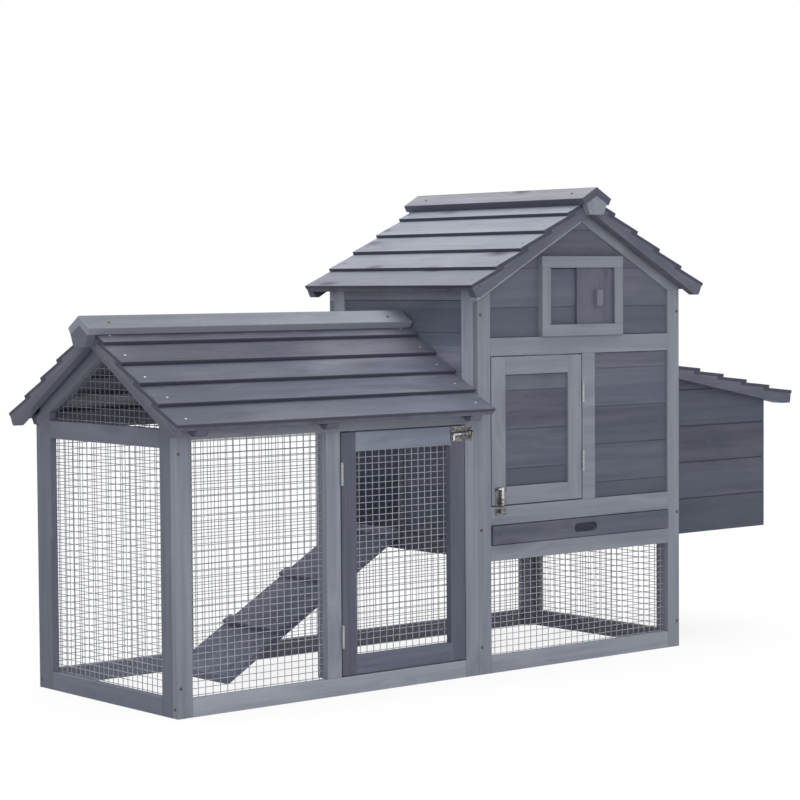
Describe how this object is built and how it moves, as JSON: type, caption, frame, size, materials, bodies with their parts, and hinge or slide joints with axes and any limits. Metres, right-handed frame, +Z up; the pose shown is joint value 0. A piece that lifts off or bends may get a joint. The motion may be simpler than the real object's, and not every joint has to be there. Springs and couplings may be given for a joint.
{
  "type": "chicken coop with run",
  "caption": "Raised timber hen house with lapped gable roof, side nest box, pull-out tray and a roofed wire run with ramp, hinged doors, hinged lid and sliding vent.",
  "frame": {"origin": "on the ground under the middle of the bounding box", "axes": "+X along the front from the run to the nest box, +Y from the front to the back, +Z up"},
  "size_m": [1.816, 0.6124, 1.0271],
  "materials": {
    "grey_paint": "matt paint over sawn wood",
    "slate_paint": "matt paint over sawn wood",
    "bare_wood": "bare planed wood",
    "wire_net": "galvanised wire",
    "steel_fittings": "dull zinc plate",
    "tray_board": "painted board"
  },
  "bodies": {
    "house": {"run_front_stiles": "grey_paint", "run_front_rails": "grey_paint", "run_back_stiles": "grey_paint", "run_back_rails": "grey_paint", "run_end_stiles": "grey_paint", "run_end_rails": "grey_paint", "run_end_rafters": "grey_paint", "inner_battens": "grey_paint", "run_ridge_cap": "grey_paint", "ridge_blocks": "grey_paint", "coop_front_stiles": "grey_paint", "coop_front_rails": "grey_paint", "coop_back_stiles": "grey_paint", "coop_back_rails": "grey_paint", "coop_rafters": "grey_paint", "coop_side_stiles": "grey_paint", "coop_side_rails": "grey_paint", "window_frame": "grey_paint", "run_roof_front_boards": "slate_paint", "run_roof_back_boards": "slate_paint", "run_roof_battens": "slate_paint", "ramp_board": "slate_paint", "ramp_cleats": "slate_paint", "coop_front_boards": "slate_paint", "coop_back_boards": "slate_paint", "coop_side_boards": "slate_paint", "coop_roof_left_boards": "slate_paint", "coop_roof_right_boards": "slate_paint", "coop_roof_battens": "slate_paint", "coop_ridge_cap": "slate_paint", "nest_side_walls": "slate_paint", "nest_end_wall": "slate_paint", "tray_runners": "bare_wood", "perch": "bare_wood", "nest_floor": "bare_wood", "nest_divider": "bare_wood", "run_front_net": "wire_net", "run_back_nets": "wire_net", "run_end_nets": "wire_net", "coop_lower_nets": "wire_net", "hinge_fixed_leaves": "steel_fittings", "hinge_pins": "steel_fittings", "bolt_keepers": "steel_fittings", "frame_screws": "steel_fittings"},
    "run_door": {"run_door_frame": "slate_paint", "run_door_net": "wire_net", "run_door_leaves": "steel_fittings", "run_bolt_plate": "steel_fittings"},
    "run_door_bolt": {"run_bolt": "steel_fittings"},
    "coop_door": {"coop_door_frame": "grey_paint", "coop_door_boards": "slate_paint", "coop_door_leaves": "steel_fittings", "coop_bolt_plate": "steel_fittings"},
    "coop_door_bolt": {"coop_bolt": "steel_fittings"},
    "tray": {"tray_front": "slate_paint", "tray_base": "tray_board"},
    "nest_lid": {"nest_lid_boards": "slate_paint", "nest_lid_battens": "slate_paint", "nest_lid_leaves": "steel_fittings"},
    "shutter": {"window_shutter": "slate_paint"}
  },
  "joints": [
    {"name": "run_door_hinge", "type": "hinge", "parent": "house", "child": "run_door", "pos_m": [-0.45671, -0.2535, 0.283], "axis": [0, 0, -1], "range_deg": [0, 165]},
    {"name": "run_bolt_slide", "type": "slide", "parent": "run_door", "child": "run_door_bolt", "axis": [1, 0, 0], "range_m": [0, 0.017]},
    {"name": "coop_door_hinge", "type": "hinge", "parent": "house", "child": "coop_door", "pos_m": [0.21129, -0.2535, 0.511], "axis": [0, 0, 1], "range_deg": [0, 165]},
    {"name": "coop_bolt_slide", "type": "slide", "parent": "coop_door", "child": "coop_door_bolt", "axis": [0, 0, -1], "range_m": [0, 0.017]},
    {"name": "tray_slide", "type": "slide", "parent": "house", "child": "tray", "axis": [0, -1, 0], "range_m": [0, 0.42]},
    {"name": "nest_lid_hinge", "type": "hinge", "parent": "house", "child": "nest_lid", "pos_m": [0.51754, 0, 0.63735], "axis": [0, -1, 0], "range_deg": [0, 75]},
    {"name": "shutter_slide", "type": "slide", "parent": "house", "child": "shutter", "axis": [-1, 0, 0], "range_m": [0, 0.09]}
  ]
}
